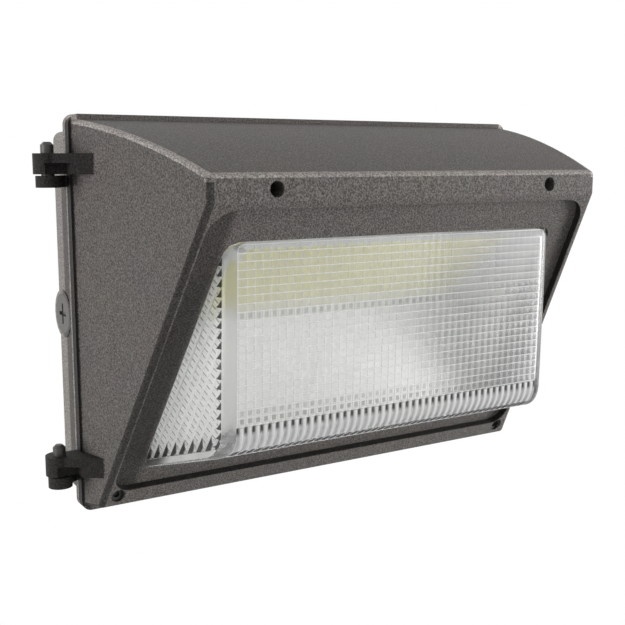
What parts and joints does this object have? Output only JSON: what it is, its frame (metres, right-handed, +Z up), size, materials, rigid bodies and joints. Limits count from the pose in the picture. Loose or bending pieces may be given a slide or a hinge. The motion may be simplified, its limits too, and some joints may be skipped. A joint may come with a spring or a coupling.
{
  "type": "wall pack light",
  "caption": "Outdoor wall pack light: a cast box for the wall with a side-hinged, slanted front door that carries a prismatic glass lens over an LED board.",
  "frame": {"origin": "centre of the back box's wall face, in the plane of the wall", "axes": "+Z up, -Y out of the wall, so the front faces -Y; +X to the right for someone who faces the light"},
  "size_m": [0.3526, 0.1554, 0.2362],
  "materials": {
    "housing_coat": "textured satin powder coat",
    "pin_coat": "satin",
    "plug_coat": "satin",
    "screw_black": "black oxide",
    "screw_zinc": "zinc plated",
    "gasket_black": "matte",
    "gasket_silicone": "matte",
    "lens_glass": "prismatic, clear",
    "clip_steel": "brushed",
    "tray_white": "gloss white",
    "board_white": "white solder mask",
    "chip_yellow": "satin",
    "connector_white": "satin",
    "driver_case": "satin",
    "surge_case": "satin",
    "terminal_case": "satin",
    "ground_green": "satin"
  },
  "bodies": {
    "back_box": {"back_box": "housing_coat", "upper_hinge_pin": "pin_coat", "lower_hinge_pin": "pin_coat", "conduit_plug_left": "plug_coat", "conduit_plug_right": "plug_coat", "plug_seals": "gasket_black", "door_gasket": "gasket_silicone", "wire_entry_grommet": "gasket_black", "led_driver": "driver_case", "driver_screws": "screw_zinc", "surge_protector": "surge_case", "surge_screws": "screw_zinc", "terminal_block": "terminal_case", "terminal_screws": "screw_zinc", "ground_screw": "ground_green"},
    "door": {"door_frame": "housing_coat", "lens": "lens_glass", "lens_gasket": "gasket_silicone", "lens_clips": "clip_steel", "reflector": "tray_white", "reflector_screws": "screw_zinc", "led_board": "board_white", "led_chips": "chip_yellow", "led_board_screws": "screw_zinc", "led_connector": "connector_white"},
    "door_screw_upper_left": {"door_screw_upper_left": "screw_black"},
    "door_screw_upper_right": {"door_screw_upper_right": "screw_black"},
    "door_screw_lower_left": {"door_screw_lower_left": "screw_black"},
    "door_screw_lower_right": {"door_screw_lower_right": "screw_black"}
  },
  "joints": [
    {"name": "door_swing", "type": "hinge", "parent": "back_box", "child": "door", "pos_m": [-0.1785, -0.038, 0], "axis": [0, 0, -1], "range_deg": [0, 120]},
    {"name": "door_screw_upper_left_drive", "type": "slide", "parent": "door", "child": "door_screw_upper_left", "axis": [0, 1, 0], "range_m": [0, 0.006]},
    {"name": "door_screw_upper_right_drive", "type": "slide", "parent": "door", "child": "door_screw_upper_right", "axis": [0, 1, 0], "range_m": [0, 0.006]},
    {"name": "door_screw_lower_left_drive", "type": "slide", "parent": "door", "child": "door_screw_lower_left", "axis": [0, 1, 0], "range_m": [0, 0.006]},
    {"name": "door_screw_lower_right_drive", "type": "slide", "parent": "door", "child": "door_screw_lower_right", "axis": [0, 1, 0], "range_m": [0, 0.006]}
  ]
}
